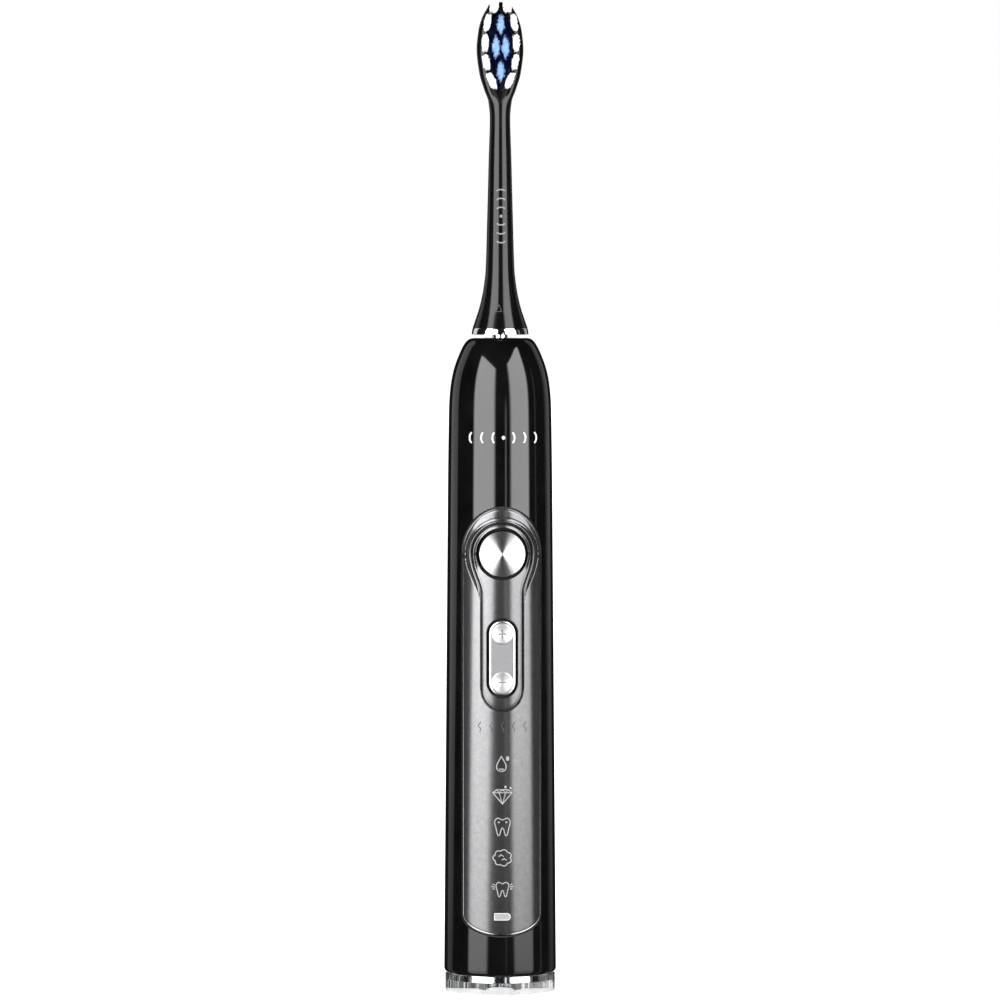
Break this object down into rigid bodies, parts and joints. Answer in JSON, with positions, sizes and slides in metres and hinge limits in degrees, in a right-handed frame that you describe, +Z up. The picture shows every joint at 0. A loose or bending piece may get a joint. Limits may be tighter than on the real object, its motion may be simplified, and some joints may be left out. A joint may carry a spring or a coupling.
{
  "type": "electric toothbrush",
  "caption": "Slim sonic toothbrush: round gloss black handle with a grey control panel, clear charging foot and slide-off brush head.",
  "frame": {"origin": "centre of the flat face that the toothbrush stands on", "axes": "+Z up along the handle's axis, -Y towards the buttons and bristles, +X to the right seen from the front"},
  "size_m": [0.028, 0.028, 0.2474],
  "materials": {
    "black_gloss": "high gloss",
    "gunmetal": "fine satin metallic",
    "spun_aluminium": "radially spun",
    "bright_chrome": "polished",
    "black_rubber": "matte",
    "clear_plastic": "clear polished",
    "window_white": "translucent",
    "white_plastic": "satin",
    "black_plastic": "satin",
    "polished_steel": "polished",
    "board_green": "solder mask",
    "copper_wire": "enamelled winding",
    "ferrite": "sintered",
    "nickel": "plated",
    "cell_sleeve": "shrink sleeve",
    "magnet": "plated",
    "brass_pin": "bright",
    "bronze": "sintered",
    "foam": "closed cell",
    "bristle_white": "nylon filaments",
    "bristle_blue": "nylon filaments",
    "bristle_navy": "nylon filaments"
  },
  "bodies": {
    "handle": {"handle_shell": "black_gloss", "control_panel": "gunmetal", "panel_gasket": "black_rubber", "button_bezel": "gunmetal", "button_membrane": "black_rubber", "button_frame": "black_plastic", "mode_icons": "window_white", "battery_icon": "window_white", "intensity_marks": "window_white", "light_guide": "window_white", "end_cap": "clear_plastic", "end_cap_ring": "bright_chrome", "end_cap_oring": "black_rubber", "coil_bobbin": "black_plastic", "receiver_coil": "copper_wire", "ferrite_core": "ferrite", "end_carrier": "black_plastic", "chassis_screws": "polished_steel", "coil_leads": "copper_wire", "chassis": "white_plastic", "circuit_board": "board_green", "tact_switches": "black_plastic", "leds": "window_white", "control_chip": "black_plastic", "board_components": "ferrite", "battery_cell": "cell_sleeve", "battery_insulator": "white_plastic", "battery_tabs": "nickel", "battery_pad": "foam", "motor_can": "polished_steel", "motor_end_plates": "black_plastic", "motor_bushes": "bronze", "stator_core": "magnet", "stator_coils": "copper_wire", "motor_damper": "black_rubber", "motor_leads": "copper_wire", "shaft_seal": "black_rubber", "seal_retainer": "black_plastic"},
    "drive": {"drive_shaft": "polished_steel", "rotor_core": "magnet", "rotor_magnets": "magnet", "shaft_collar": "polished_steel"},
    "brush_head": {"brush_stem": "black_gloss", "neck_ring": "bright_chrome", "socket_insert": "white_plastic", "socket_clip": "polished_steel", "tuft_anchors": "brass_pin", "tufts_white": "bristle_white", "tufts_blue": "bristle_blue", "tufts_navy": "bristle_navy"},
    "power_button": {"power_button_cap": "spun_aluminium", "power_button_plunger": "black_rubber"},
    "rocker_button": {"rocker_cap": "bright_chrome", "rocker_pads": "spun_aluminium", "rocker_pin": "polished_steel"}
  },
  "joints": [
    {"name": "power_button_press", "type": "slide", "parent": "handle", "child": "power_button", "axis": [0, 1, 0], "range_m": [0, 0.0004], "stiffness_N_per_m": 800},
    {"name": "rocker_tilt", "type": "hinge", "parent": "handle", "child": "rocker_button", "pos_m": [0, -0.0095, 0.08495], "axis": [1, 0, 0], "range_deg": [-2.5, 2.5], "stiffness_Nm_per_rad": 0.05},
    {"name": "drive_oscillation", "type": "hinge", "parent": "handle", "child": "drive", "pos_m": [0, 0, 0], "axis": [0, 0, 1], "range_deg": [-5, 5], "stiffness_Nm_per_rad": 0.2},
    {"name": "head_slide", "type": "slide", "parent": "drive", "child": "brush_head", "axis": [0, 0, 1], "range_m": [0, 0.026]}
  ]
}
